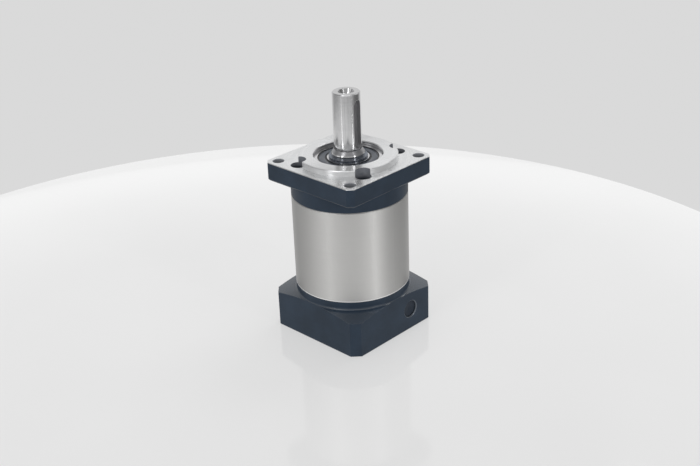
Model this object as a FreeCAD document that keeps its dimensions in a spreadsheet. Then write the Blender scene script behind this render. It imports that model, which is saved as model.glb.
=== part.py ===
# Inline planetary gear reducer, 60 mm frame, two stages, 16:1.
# Millimetres. +Z runs out along the output shaft; the origin is on the shaft
# axis, on the mounting face of the square output flange.
import FreeCAD, Part
import Sketcher
import math
import os

Vector = FreeCAD.Vector
Rotation = FreeCAD.Rotation
doc = FreeCAD.newDocument("inline_gear_reducer")
sheet = doc.addObject("Spreadsheet::Sheet", "Sizes")

# ---------------------------------------------------------------- dimensions
# (alias, value): _rad is a radius, _dia a diameter, _z a height on the shaft
# axis, _angle is in degrees.
TABLE = [
    # output flange
    ("flange_side", 60.0), ("flange_corner_dia", 81.0), ("flange_thick", 9.7),
    ("flange_edge_break", 0.9), ("flange_top_break", 0.3), ("flange_corner_round", 0.9),
    ("pilot_rad", 25.0), ("pilot_height", 3.0), ("pilot_chamfer", 0.4),
    ("mount_hole_rad", 2.75), ("mount_half_pitch", 24.75), ("mount_hole_chamfer", 0.3),
    ("skirt_rad", 29.65), ("skirt_edge", 0.3), ("skirt_top_z", -4.0),
    ("flange_end_z", -17.2), ("flange_core_overlap", 1.0),
    ("front_bore_rad", 17.5), ("front_seat_z", -9.0), ("bore_chamfer", 0.4),
    ("shoulder_rad", 14.0), ("rear_bore_rad", 15.0), ("rear_seat_z", -10.2),
    ("spigot_rad", 23.0), ("spigot_inner_rad", 21.3), ("spigot_chamfer", 0.4),
    ("front_spigot_end_z", -20.2),
    ("o_groove_rad", 22.2), ("o_groove_top_z", -18.2), ("o_groove_low_z", -19.4),
    ("body_screw_circle", 25.7), ("body_screw_angle", 60.0), ("counterbore_rad", 3.95),
    ("flange_screw_seat_z", -8.2), ("screw_clear_rad", 2.2), ("flange_screw_bore", 18.0),
    # ring gear
    ("ring_end_z", -66.3), ("ring_chamfer", 0.4), ("mouth_rad", 23.05),
    ("front_mouth_z", -20.4), ("rear_mouth_z", -60.2),
    ("tapped_rad", 2.02), ("front_tap_end_z", -29.5), ("rear_tap_end_z", -56.5),
    # gearing
    ("gear_module", 0.7), ("pressure_angle", 20.0), ("ring_teeth", 63.0),
    ("planet_teeth", 21.0), ("sun_teeth", 21.0), ("flank_relief", 0.032),
    ("ring_space_overrun", 0.3),
    ("centre_distance", 14.7), ("carrier_angle", 5.0), ("inter_carrier_angle", 35.0),
    # motor adapter
    ("adapter_side", 60.0), ("adapter_corner", 4.25), ("adapter_end_z", -92.0),
    ("neck_rad", 29.5), ("neck_foot_z", -69.2), ("cone_start_rad", 30.9),
    ("cone_start_z", -70.44), ("cone_end_rad", 45.0), ("cone_end_z", -74.22),
    ("neck_fillet", 1.4), ("adapter_edge_break", 0.5),
    ("adapter_core_rad", 15.0), ("adapter_core_overlap", 2.0),
    ("rear_spigot_end_z", -60.4), ("rear_o_groove_top_z", -62.8), ("rear_o_groove_low_z", -64.0),
    ("motor_pilot_rad", 25.0), ("motor_pilot_z", -88.5), ("clamp_room_rad", 20.0),
    ("clamp_room_z", -73.6), ("input_shoulder_rad", 16.0), ("input_bore_rad", 18.5),
    ("clip_groove_rad", 19.5), ("clip_groove_low_z", -62.5), ("clip_groove_top_z", -60.95),
    ("adapter_screw_seat_z", -74.0), ("motor_hole_rad", 2.1), ("motor_half_pitch", 24.75),
    ("motor_hole_depth", 11.0), ("motor_hole_chamfer", 0.45),
    ("access_hole_rad", 4.5), ("access_hole_depth", 15.0), ("access_y", 11.4),
    ("access_z", -80.3), ("access_chamfer", 0.4),
    ("plug_rad", 4.49), ("plug_recess", 0.9), ("plug_length", 3.6), ("plug_edge", 0.3),
    ("plug_dish_rad", 3.3), ("plug_dish", 0.35), ("plug_hollow_rad", 3.1), ("plug_hollow", 2.2),
    # output shaft and its planet carrier
    ("shaft_end_z", 35.0), ("shaft_rad", 7.0), ("shaft_chamfer", 0.5),
    ("collar_top_z", 5.7), ("collar_mid_rad", 8.3), ("collar_mid_z", 3.95),
    ("seat_rad", 8.5), ("collar_low_z", 3.5),
    ("clip_land_rad", 8.1), ("shaft_clip_top_z", 2.1), ("shaft_clip_low_z", 1.02),
    ("hub_face_z", -17.2), ("hub_shoulder_rad", 10.0), ("front_plate_top_z", -18.0),
    ("carrier_rad", 20.8), ("carrier_chamfer", 0.5), ("front_plate_low_z", -22.5),
    ("carrier_gap", 13.2), ("rear_plate_thick", 4.0), ("carrier_bore_rad", 9.0),
    ("bush_seat_rad", 4.5), ("bush_seat_z", -16.5),
    ("pin_rad", 3.0), ("output_pin_top_z", -19.0), ("output_pin_length", 20.4),
    ("web_angle", 60.0), ("web_inner_x", 10.5), ("web_inner_half", 4.0),
    ("web_outer_x", 19.8), ("web_outer_half", 6.0),
    ("key_width", 5.0), ("key_length", 25.0), ("key_low_z", 6.5), ("key_floor", 4.0),
    ("key_cut", 6.0),
    ("centre_hole_rad", 2.1), ("centre_hole_depth", 16.5), ("centre_drill_tip", 1.2),
    ("centre_thread_depth", 4.1), ("centre_cone_rad", 4.05), ("centre_cone_depth", 2.42),
    ("centre_recess_rad", 2.65), ("centre_recess_depth", 3.6),
    # interstage carrier with the output sun
    ("inter_top_z", -41.0), ("inter_plate_thick", 3.5), ("inter_gap", 10.2),
    ("inter_rear_thick", 3.0), ("sun_neck_rad", 6.2), ("sun_two_top_z", -23.2),
    ("sun_two_low_z", -35.6), ("sun_two_overlap", 1.0),
    ("spigot_pin_rad", 2.95), ("spigot_pin_top_z", -17.6), ("spigot_pin_chamfer", 0.4),
    ("inter_pin_top_z", -41.8), ("inter_pin_length", 15.6),
    ("thrust_inner_rad", 10.0), ("thrust_outer_rad", 13.0), ("thrust_top_z", -39.8),
    # planets, bushes and washers
    ("planet_bore_rad", 4.5), ("bush_inner_rad", 3.05), ("washer_inner_rad", 3.05),
    ("washer_outer_rad", 6.0), ("washer_thick", 0.5), ("end_float", 0.1),
    # input hub
    ("sun_one_top_z", -44.9), ("sun_one_low_z", -54.5), ("sun_one_overlap", 0.5),
    ("input_flange_top_z", -59.0), ("input_flange_rad", 12.0), ("input_flange_chamfer", 0.5),
    ("input_seat_rad", 10.0), ("input_seat_top_z", -62.5),
    ("input_seat_low_z", -71.5), ("input_clip_rad", 9.6), ("input_clip_low_z", -72.7),
    ("input_collar_z", -73.6), ("input_collar_taper", 0.4),
    ("clamp_sleeve_rad", 9.0), ("clamp_sleeve_end_z", -88.2), ("sleeve_end_edge", 0.3),
    ("motor_bore_rad", 7.0), ("motor_bore_end_z", -62.0), ("motor_bore_chamfer", 0.4),
    ("sleeve_slot", 1.2), ("sleeve_slot_z", -74.6), ("sleeve_slot_reach", 12.0),
    # clamp collar and its screw
    ("clamp_outer_rad", 17.5), ("clamp_height", 10.2), ("clamp_slot", 1.5),
    ("clamp_slot_low_y", 5.0), ("clamp_slot_top_y", 20.0), ("clamp_chamfer", 0.6),
    ("clamp_hole_reach", 20.0), ("clamp_screw_seat_x", 6.0), ("clamp_head_room", 3.7),
    ("clamp_head_reach", 14.0), ("clamp_screw_length", 16.0),
    # M4 socket head cap screw
    ("screw_rad", 1.98), ("head_rad", 3.5), ("head_height", 4.0), ("head_chamfer", 0.4),
    ("socket_rad", 1.732), ("socket_depth", 2.0), ("screw_tip", 0.5),
    ("flange_screw_length", 20.0), ("adapter_screw_length", 16.0),
    # rings, clips and spacers
    ("o_ring_major", 22.625), ("o_ring_minor", 0.42),
    ("fit_gap", 0.01), ("spacer_outer_rad", 10.2),
    ("support_bush_play", 0.05), ("support_bush_end_gap", 0.2),
    ("clip_lug_rad", 1.3), ("clip_lug_hole", 0.6), ("clip_lug_offset", 0.1),
    ("clip_slot_overrun", 3.0),
    ("shaft_clip_outer_rad", 9.9), ("shaft_clip_thick", 1.0), ("shaft_clip_gap", 3.2),
    ("shaft_clip_play", 0.05), ("shaft_clip_angle", 135.0),
    ("bore_clip_inner_rad", 16.4), ("bore_clip_outer_rad", 19.4), ("bore_clip_thick", 1.4),
    ("bore_clip_gap", 6.0), ("bore_clip_play", 0.02), ("bore_clip_angle", 20.0),
    ("hub_clip_outer_rad", 11.6), ("hub_clip_thick", 1.05), ("hub_clip_gap", 3.4),
    ("hub_clip_play", 0.03), ("hub_clip_lug_out", 0.1), ("hub_clip_angle", 200.0),
    # common to all bearings
    ("race_chamfer", 0.4), ("ball_play", 0.06), ("seal_recess", 0.2), ("seal_thick", 0.9),
    ("seal_lip_gap", 0.3), ("cage_gap", 0.35), ("cage_window_overrun", 5.0),
]
# One row per bearing; each alias is the row's name, "_" and the column's name.
# All are radii but top_z, width, step (depth of the seal step) and cage_half (half height).
BEARING_COLUMNS = ("bore", "outer", "top_z", "width", "pitch", "ball", "land_in",
                   "land_out", "face_in", "face_out", "step", "cage_half")
BEARINGS = {
    "front_bearing": (8.5, 17.5, 1.0, 10.0, 13.0, 2.38, 11.4, 14.6, 10.65, 15.5, 1.4, 3.0),
    "rear_bearing": (8.5, 15.0, -10.2, 7.0, 11.75, 1.75, 10.7, 12.8, 10.3, 13.4, 1.25, 2.2),
    "input_bearing": (10.0, 18.5, -62.5, 9.0, 14.25, 2.25, 12.85, 15.65, 12.2, 16.2, 1.2, 2.8),
}
for bearing_name, bearing_row in BEARINGS.items():
    for column, value in zip(BEARING_COLUMNS, bearing_row):
        TABLE.append((bearing_name + "_" + column, value))
for row, (name, value) in enumerate(TABLE, start=1):
    sheet.set("A%d" % row, name)
    sheet.set("B%d" % row, "%.6g" % value)
    sheet.setAlias("B%d" % row, name)
doc.recompute()

OVERCUT = 1.0  # how far a cutter passes the open face it starts from
PLANETS = 3  # planets in each stage


class Size:
    """A number with the sheet expression that gives it."""

    def __init__(self, value, text):
        self.value = float(value)
        self.text = text

    def _join(self, other, sign, result):
        return Size(result, "(%s %s %s)" % (self.text, sign, size(other).text))

    def __add__(self, other):
        return self._join(other, "+", self.value + size(other).value)

    def __sub__(self, other):
        return self._join(other, "-", self.value - size(other).value)

    def __mul__(self, other):
        return self._join(other, "*", self.value * size(other).value)

    def __truediv__(self, other):
        return self._join(other, "/", self.value / size(other).value)

    def __neg__(self):
        return Size(-self.value, "(0 - %s)" % self.text)


def size(number):
    return number if isinstance(number, Size) else Size(number, "%.9g" % number)


def sqrt(number):
    return Size(math.sqrt(number.value), "sqrt(%s)" % number.text)


def cosd(angle):
    return Size(math.cos(math.radians(angle.value)), "cos(%s * 1deg)" % angle.text)


def sind(angle):
    return Size(math.sin(math.radians(angle.value)), "sin(%s * 1deg)" % angle.text)


class SheetSizes:
    """Reads any alias of the sheet as a Size."""

    def __getattr__(self, alias):
        return Size(float(sheet.get(alias)), "Sizes.%s" % alias)


dim = SheetSizes()


# ------------------------------------------------------------ sketch helpers
def plane(body, role):
    for feature in body.Origin.OriginFeatures:
        if feature.Role == role:
            return feature
    raise RuntimeError(role)


def bind(obj, prop, amount):
    obj.setExpression(prop, size(amount).text)


def new_body(label):
    body = doc.addObject("PartDesign::Body", label)
    body.Label = label
    return body


def new_sketch(body, role, offset=0):
    """Sketch on an origin plane, moved by offset along the plane's normal."""
    sketch = body.newObject("Sketcher::SketchObject", body.Name + "_sketch")
    sketch.AttachmentSupport = (plane(body, role), [""])
    sketch.MapMode = "FlatFace"
    sketch.AttachmentOffset = FreeCAD.Placement(Vector(0, 0, size(offset).value), Rotation())
    bind(sketch, "AttachmentOffset.Base.z", offset)
    return sketch


def constrain(sketch, kind, where, amount):
    """Adds a dimension that the sheet drives."""
    constraint = Sketcher.Constraint(kind, *where, size(amount).value)
    bind(sketch, "Constraints[%d]" % sketch.addConstraint(constraint), amount)


def pin_point(sketch, geo, pos, x, y):
    """Ties one sketch point to sheet-driven coordinates."""
    for kind, amount, axis in (("DistanceX", x, -2), ("DistanceY", y, -1)):
        if abs(size(amount).value) < 1e-9:
            sketch.addConstraint(Sketcher.Constraint("PointOnObject", geo, pos, axis))
        else:
            constrain(sketch, kind, (-1, 1, geo, pos), amount)


def outline(sketch, points):
    """Closed outline. A point is (x, y) or (x, y, radius, side): with a radius,
    the edge to the next point is an arc, its centre left (+1) or right (-1)."""
    first = sketch.GeometryCount
    total = len(points)
    vertices = [Vector(size(p[0]).value, size(p[1]).value, 0) for p in points]
    ends = []  # each edge's start and end point numbers, as the outline runs
    arcs = []
    for i, point in enumerate(points):
        start = vertices[i]
        end = vertices[(i + 1) % total]
        if len(point) == 2:
            sketch.addGeometry(Part.LineSegment(start, end), False)
            ends.append((1, 2))
            continue
        radius, side = size(point[2]), point[3]
        chord = end - start
        normal = Vector(-chord.y, chord.x, 0)
        normal.normalize()
        rise = math.sqrt(max(radius.value ** 2 - (chord.Length / 2) ** 2, 0.0))
        centre = (start + end) * 0.5 + normal * rise * side
        # an arc always runs anticlockwise from its first end to its second
        tail, head = (start, end) if side > 0 else (end, start)
        tail_angle = math.atan2(tail.y - centre.y, tail.x - centre.x)
        head_angle = math.atan2(head.y - centre.y, head.x - centre.x)
        if head_angle <= tail_angle:
            head_angle += 2 * math.pi
        full = Part.Circle(centre, Vector(0, 0, 1), radius.value)
        sketch.addGeometry(Part.ArcOfCircle(full, tail_angle, head_angle), False)
        ends.append((1, 2) if side > 0 else (2, 1))
        arcs.append((first + i, radius, rise, point[1]))
    for i in range(total):
        after = (i + 1) % total
        sketch.addConstraint(Sketcher.Constraint(
            "Coincident", first + i, ends[i][1], first + after, ends[after][0]))
    for i, point in enumerate(points):
        pin_point(sketch, first + i, ends[i][0], point[0], point[1])
    for geo, radius, rise, chord_y in arcs:
        if rise < 1e-6:
            # a half circle on a level chord: its centre is tied to the chord's height
            constrain(sketch, "DistanceY", (-1, 1, geo, 3), chord_y)
        else:
            constrain(sketch, "Radius", (geo,), radius)


def circles(sketch, items):
    """Circles given as (x, y, radius)."""
    for x, y, radius in items:
        centre = Vector(size(x).value, size(y).value, 0)
        circle = Part.Circle(centre, Vector(0, 0, 1), size(radius).value)
        geo = sketch.addGeometry(circle, False)
        pin_point(sketch, geo, 3, x, y)
        constrain(sketch, "Radius", (geo,), radius)


# ----------------------------------------------------------- feature helpers
def volume(body):
    return body.Shape.Volume if not body.Shape.isNull() else 0.0


def add_feature(body, kind, suffix, sketch, removes, **settings):
    """Adds a sketched feature; one that removes material must cut something."""
    before = volume(body)
    feature = body.newObject("PartDesign::" + kind, body.Name + suffix)
    feature.Profile = (sketch, [""])
    for prop, setting in settings.items():
        if isinstance(setting, Size):
            bind(feature, prop, setting)
        else:
            setattr(feature, prop, setting)
    doc.recompute()
    if removes and volume(body) > before - 1e-3:
        raise RuntimeError("%s cut nothing in %s" % (kind, body.Label))


def revolve(body, points, cut=False):
    """Turns an outline of (radius, z) about the Z axis."""
    sketch = new_sketch(body, "XZ_Plane")
    outline(sketch, points)
    kind, suffix = ("Groove", "_groove") if cut else ("Revolution", "_turned")
    add_feature(body, kind, suffix, sketch, cut,
                ReferenceAxis=(sketch, ["V_Axis"]), Angle=360.0)


def pad(body, sketch, length):
    add_feature(body, "Pad", "_pad", sketch, False, Length=size(length))


def pocket(body, sketch, length, reverse=False):
    """Cuts along the sketch's negative normal, or along its normal if reversed."""
    add_feature(body, "Pocket", "_pocket", sketch, True,
                Type="Length", Length=size(length), Reversed=reverse)


def drill(body, holes, offset, depth, reverse=False, role="XY_Plane"):
    sketch = new_sketch(body, role, offset)
    circles(sketch, holes)
    pocket(body, sketch, depth, reverse)


def mill(body, points, offset, depth, reverse=False, role="XY_Plane"):
    sketch = new_sketch(body, role, offset)
    outline(sketch, points)
    pocket(body, sketch, depth, reverse)


def dress(body, kind, prop, test, amount):
    tip = body.Tip
    names = ["Edge%d" % i for i, edge in enumerate(tip.Shape.Edges, start=1) if test(edge)]
    if not names:
        raise RuntimeError("no edges for %s on %s" % (kind, body.Label))
    feature = body.newObject("PartDesign::" + kind, body.Name + "_" + kind.lower())
    feature.Base = (tip, names)
    bind(feature, prop, amount)
    doc.recompute()


def chamfer(body, test, amount):
    dress(body, "Chamfer", "Size", test, amount)


def fillet(body, test, amount):
    dress(body, "Fillet", "Radius", test, amount)


def is_upright_line(edge):
    return (edge.Curve.TypeId == "Part::GeomLine"
            and abs(edge.tangentAt(edge.FirstParameter).z) > 0.9)


def is_circle(edge, radius):
    return (edge.Curve.TypeId == "Part::GeomCircle"
            and abs(edge.Curve.Radius - radius.value) < 1e-4)


def all_at(edge, axis, level):
    """True if every vertex of the edge has this x, y or z."""
    return all(abs(getattr(v.Point, axis) - size(level).value) < 1e-4 for v in edge.Vertexes)


def ring_points(circle, first_angle, count):
    """Sheet-driven hole centres on a circle."""
    points = []
    for k in range(count):
        angle = size(first_angle) + 360.0 / count * k
        points.append((circle * cosd(angle), circle * sind(angle)))
    return points


def square_holes(pitch, radius):
    """Holes on the corners of a square, pitch being half its side."""
    return [(pitch, pitch, radius), (-pitch, pitch, radius),
            (-pitch, -pitch, radius), (pitch, -pitch, radius)]


# ------------------------------------------------------------- solid helpers
serial = [0]


def numbered(stem, step=1):
    """Stem with a running number; step 0 takes the last number again."""
    serial[0] += step
    return "%s_%03d" % (stem, serial[0])


def place(obj, at, rotation=None):
    spot = [size(c) for c in at]
    obj.Placement = FreeCAD.Placement(Vector(*[c.value for c in spot]), rotation or Rotation())
    for axis, coordinate in zip("xyz", spot):
        bind(obj, "Placement.Base." + axis, coordinate)
    return obj


def prim(kind, at=(0, 0, 0), rotation=None, **props):
    obj = doc.addObject("Part::" + kind, numbered("prim_" + kind.lower()))
    for prop, amount in props.items():
        bind(obj, prop, amount)
    return place(obj, at, rotation)


def cylinder(radius, height, at=(0, 0, 0), rotation=None):
    return prim("Cylinder", at, rotation, Radius=radius, Height=height)


def subtract(label, base, tool):
    obj = doc.addObject("Part::Cut", label)
    obj.Base = base
    obj.Tool = tool
    obj.Label = label
    return obj


def fuse(label, shapes):
    obj = doc.addObject("Part::MultiFuse", label)
    obj.Shapes = shapes
    obj.Label = label
    return obj


def tube(z_low, length, inner, outer, x=0, y=0):
    solid = cylinder(outer, length, (x, y, z_low))
    hollow = cylinder(inner, length, (x, y, z_low))
    return subtract(numbered("tube"), solid, hollow)


PARTS = []


def finish(obj, label=None, turn=None):
    """Registers a finished piece, turned about the shaft axis if asked."""
    if label:
        obj.Label = label
    if turn is not None:
        obj.Placement = FreeCAD.Placement(Vector(0, 0, 0), Rotation(Vector(0, 0, 1), turn.value))
        obj.setExpression("Placement.Rotation.Angle", "%s * 1deg" % turn.text)
    PARTS.append(obj)


# ------------------------------------------------------------------- gearing
MODULE = dim.gear_module.value
RING_TEETH = dim.ring_teeth.value
PLANET_TEETH = dim.planet_teeth.value
SUN_TEETH = dim.sun_teeth.value
ADDENDUM = 1.0  # in modules
DEDENDUM = 1.25  # in modules
FLANK_STATIONS = (0.0, 0.12, 0.28, 0.46, 0.64, 0.82, 1.0)  # share of the way up a flank
ROOT_FLARE = 0.10  # extra half thickness at a root that lies below the base circle


def involute_outline(teeth, tip, root, relief, phase):
    """Closed polygon of an involute gear outline, one tooth centred on phase (degrees)."""
    pressure = math.radians(dim.pressure_angle.value)
    pitch_rad = MODULE * teeth / 2.0
    base_rad = pitch_rad * math.cos(pressure)

    def involute(angle):
        return math.tan(angle) - angle

    half_tooth = (math.pi * MODULE / 4.0 - relief) / pitch_rad + involute(pressure)

    def half_at(radius):
        radius = max(radius, base_rad)
        return half_tooth - involute(math.acos(min(1.0, base_rad / radius)))

    low = max(root, base_rad)
    flank = []  # (radius, half angle), root to tip
    if root < base_rad - 1e-6:
        flank.append((root, half_at(base_rad) + ROOT_FLARE / root))
    for share in FLANK_STATIONS:
        radius = low + (tip - low) * share
        flank.append((radius, half_at(radius)))
    points = []
    for k in range(int(teeth)):
        centre = math.radians(phase) + 2 * math.pi * k / teeth
        for radius, half in flank:
            angle = centre - half
            points.append(Vector(radius * math.cos(angle), radius * math.sin(angle), 0))
        for radius, half in reversed(flank):
            angle = centre + half
            points.append(Vector(radius * math.cos(angle), radius * math.sin(angle), 0))
    return points


def prism(label, points, z_low, z_top, x=0, y=0, bore=None):
    height = z_top.value - z_low.value
    shape = Part.Face(Part.makePolygon(points + [points[0]])).extrude(Vector(0, 0, height))
    if bore is not None:
        shape = shape.cut(Part.makeCylinder(bore.value, height))
    obj = doc.addObject("Part::Feature", label)
    obj.Shape = shape
    obj.Label = label
    return place(obj, (x, y, z_low))


def external(teeth, phase):
    pitch_rad = MODULE * teeth / 2.0
    return involute_outline(teeth, pitch_rad + ADDENDUM * MODULE, pitch_rad - DEDENDUM * MODULE,
                            dim.flank_relief.value, phase)


def planet_phase(angle):
    """Tooth phase of a planet centred at this angle: its outward tooth sits in
    the ring's space, one of which is centred at 0 degrees."""
    return angle - RING_TEETH * angle / PLANET_TEETH


def sun_phase(angle):
    """Tooth phase of the sun that meshes with a planet centred at this angle."""
    space = angle - PLANET_TEETH * (planet_phase(angle) - angle - 180.0) / SUN_TEETH
    return space + 180.0 / SUN_TEETH


# ------------------------------------------------------------------- housing
SCREW_XY = ring_points(dim.body_screw_circle, dim.body_screw_angle, 4)


def screw_holes(radius):
    return [(x, y, radius) for x, y in SCREW_XY]


def output_flange():
    body = new_body("output_flange")
    half = dim.flange_side / 2
    arc = dim.flange_corner_dia / 2
    corner = sqrt(arc * arc - half * half)
    sketch = new_sketch(body, "XY_Plane", -dim.flange_thick)
    outline(sketch, [
        (half, -corner), (half, corner, arc, 1), (corner, half), (-corner, half, arc, 1),
        (-half, corner), (-half, -corner, arc, 1), (-corner, -half), (corner, -half, arc, 1)])
    pad(body, sketch, dim.flange_thick)
    fillet(body, is_upright_line, dim.flange_corner_round)
    chamfer(body, lambda e: all_at(e, "z", -dim.flange_thick), dim.flange_edge_break)
    chamfer(body, lambda e: all_at(e, "z", 0), dim.flange_top_break)
    # the plate is opened, and the turned core overlaps the hole's edge
    drill(body, [(0, 0, dim.pilot_rad - dim.flange_core_overlap)], 0, dim.flange_thick)
    revolve(body, [
        (dim.front_bore_rad + dim.bore_chamfer, dim.pilot_height),
        (dim.front_bore_rad, dim.pilot_height - dim.bore_chamfer),
        (dim.front_bore_rad, dim.front_seat_z),
        (dim.shoulder_rad, dim.front_seat_z),
        (dim.shoulder_rad, dim.rear_seat_z),
        (dim.rear_bore_rad, dim.rear_seat_z),
        (dim.rear_bore_rad, dim.flange_end_z),
        (dim.spigot_inner_rad, dim.flange_end_z),
        (dim.spigot_inner_rad, dim.front_spigot_end_z),
        (dim.spigot_rad - dim.spigot_chamfer, dim.front_spigot_end_z),
        (dim.spigot_rad, dim.front_spigot_end_z + dim.spigot_chamfer),
        (dim.spigot_rad, dim.o_groove_low_z),
        (dim.o_groove_rad, dim.o_groove_low_z),
        (dim.o_groove_rad, dim.o_groove_top_z),
        (dim.spigot_rad, dim.o_groove_top_z),
        (dim.spigot_rad, dim.flange_end_z),
        (dim.skirt_rad - dim.skirt_edge, dim.flange_end_z),
        (dim.skirt_rad, dim.flange_end_z + dim.skirt_edge),
        (dim.skirt_rad, dim.skirt_top_z),
        (dim.pilot_rad, dim.skirt_top_z),
        (dim.pilot_rad, dim.pilot_height - dim.pilot_chamfer),
        (dim.pilot_rad - dim.pilot_chamfer, dim.pilot_height)])
    drill(body, square_holes(dim.mount_half_pitch, dim.mount_hole_rad),
          0, dim.flange_thick + OVERCUT)
    drill(body, screw_holes(dim.screw_clear_rad), 0, dim.flange_screw_bore)
    # the counterbores straddle the pilot's edge, so they start above it
    start = dim.pilot_height + OVERCUT
    drill(body, screw_holes(dim.counterbore_rad), start, start - dim.flange_screw_seat_z)
    chamfer(body, lambda e: all_at(e, "z", 0) and is_circle(e, dim.mount_hole_rad),
            dim.mount_hole_chamfer)
    finish(body)


def ring_gear():
    body = new_body("ring_blank")
    tip_rad = dim.gear_module * (dim.ring_teeth / 2 - ADDENDUM)
    revolve(body, [
        (dim.mouth_rad, dim.flange_end_z),
        (dim.skirt_rad - dim.ring_chamfer, dim.flange_end_z),
        (dim.skirt_rad, dim.flange_end_z - dim.ring_chamfer),
        (dim.skirt_rad, dim.ring_end_z + dim.ring_chamfer),
        (dim.skirt_rad - dim.ring_chamfer, dim.ring_end_z),
        (dim.mouth_rad, dim.ring_end_z),
        (dim.mouth_rad, dim.rear_mouth_z),
        (tip_rad, dim.rear_mouth_z),
        (tip_rad, dim.front_mouth_z),
        (dim.mouth_rad, dim.front_mouth_z)])
    holes = screw_holes(dim.tapped_rad)
    drill(body, holes, dim.flange_end_z, dim.flange_end_z - dim.front_tap_end_z)
    drill(body, holes, dim.ring_end_z, dim.rear_tap_end_z - dim.ring_end_z, reverse=True)
    # the tooth spaces are one external gear, run a little inside the ring's tips
    pitch_rad = MODULE * RING_TEETH / 2
    inside = pitch_rad - ADDENDUM * MODULE - dim.ring_space_overrun.value
    spaces = involute_outline(RING_TEETH, pitch_rad + DEDENDUM * MODULE, inside,
                              -dim.flank_relief.value, 0.0)
    cutter = prism("ring_spaces", spaces, dim.rear_mouth_z, dim.front_mouth_z)
    finish(subtract("ring_gear", body, cutter))


def motor_adapter():
    body = new_body("motor_adapter")
    half = dim.adapter_side / 2
    inset = half - dim.adapter_corner
    end_z = dim.adapter_end_z
    sketch = new_sketch(body, "XY_Plane", end_z)
    outline(sketch, [(half, -inset), (half, inset), (inset, half), (-inset, half),
                     (-half, inset), (-half, -inset), (-inset, -half), (inset, -half)])
    pad(body, sketch, dim.ring_end_z - end_z)
    chamfer(body, lambda e: all_at(e, "z", end_z), dim.adapter_edge_break)
    # round neck and the cone that runs out into the square
    revolve(body, [
        (dim.neck_rad, dim.ring_end_z + OVERCUT),
        (dim.neck_rad, dim.neck_foot_z, dim.neck_fillet, 1),
        (dim.cone_start_rad, dim.cone_start_z),
        (dim.cone_end_rad, dim.cone_end_z),
        (dim.cone_end_rad, dim.ring_end_z + OVERCUT)], cut=True)
    # spigot with its O-ring groove
    core_z = dim.ring_end_z - dim.adapter_core_overlap
    revolve(body, [
        (dim.adapter_core_rad, core_z),
        (dim.spigot_rad, core_z),
        (dim.spigot_rad, dim.rear_o_groove_low_z),
        (dim.o_groove_rad, dim.rear_o_groove_low_z),
        (dim.o_groove_rad, dim.rear_o_groove_top_z),
        (dim.spigot_rad, dim.rear_o_groove_top_z),
        (dim.spigot_rad, dim.rear_spigot_end_z - dim.spigot_chamfer),
        (dim.spigot_rad - dim.spigot_chamfer, dim.rear_spigot_end_z),
        (dim.adapter_core_rad, dim.rear_spigot_end_z)])
    # stepped bore: motor pilot, clamp room, bearing seat, circlip groove
    revolve(body, [
        (0, end_z - OVERCUT),
        (dim.motor_pilot_rad, end_z - OVERCUT),
        (dim.motor_pilot_rad, dim.motor_pilot_z),
        (dim.clamp_room_rad, dim.motor_pilot_z),
        (dim.clamp_room_rad, dim.clamp_room_z),
        (dim.input_shoulder_rad, dim.clamp_room_z),
        (dim.input_shoulder_rad, dim.input_seat_low_z),
        (dim.input_bore_rad, dim.input_seat_low_z),
        (dim.input_bore_rad, dim.clip_groove_low_z),
        (dim.clip_groove_rad, dim.clip_groove_low_z),
        (dim.clip_groove_rad, dim.clip_groove_top_z),
        (dim.input_bore_rad, dim.clip_groove_top_z),
        (dim.input_bore_rad, dim.rear_spigot_end_z + OVERCUT),
        (0, dim.rear_spigot_end_z + OVERCUT)], cut=True)
    for holes, depth in (
            (screw_holes(dim.screw_clear_rad), dim.ring_end_z - end_z + OVERCUT),
            (screw_holes(dim.counterbore_rad), dim.adapter_screw_seat_z - end_z),
            (square_holes(dim.motor_half_pitch, dim.motor_hole_rad), dim.motor_hole_depth)):
        drill(body, holes, end_z, depth, reverse=True)
    # on the YZ plane the sketch's x runs along +Y and its y along +Z
    drill(body, [(dim.access_y, dim.access_z, dim.access_hole_rad)],
          half, dim.access_hole_depth, role="YZ_Plane")
    chamfer(body, lambda e: is_circle(e, dim.access_hole_rad) and all_at(e, "x", half),
            dim.access_chamfer)
    chamfer(body, lambda e: all_at(e, "z", end_z) and is_circle(e, dim.motor_hole_rad),
            dim.motor_hole_chamfer)
    finish(body)


def access_plug():
    """Cap plug that closes the access hole: a dished face outside, hollow inside."""
    body = new_body("access_plug")
    ceiling = dim.plug_hollow - dim.plug_length
    revolve(body, [
        (0, -dim.plug_dish),
        (0, ceiling),
        (dim.plug_hollow_rad, ceiling),
        (dim.plug_hollow_rad, -dim.plug_length),
        (dim.plug_rad - dim.plug_edge, -dim.plug_length),
        (dim.plug_rad, dim.plug_edge - dim.plug_length),
        (dim.plug_rad, -dim.plug_edge),
        (dim.plug_rad - dim.plug_edge, 0),
        (dim.plug_dish_rad, 0)])
    place(body, (dim.adapter_side / 2 - dim.plug_recess, dim.access_y, dim.access_z),
          Rotation(Vector(0, 1, 0), 90))
    finish(body)


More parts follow.
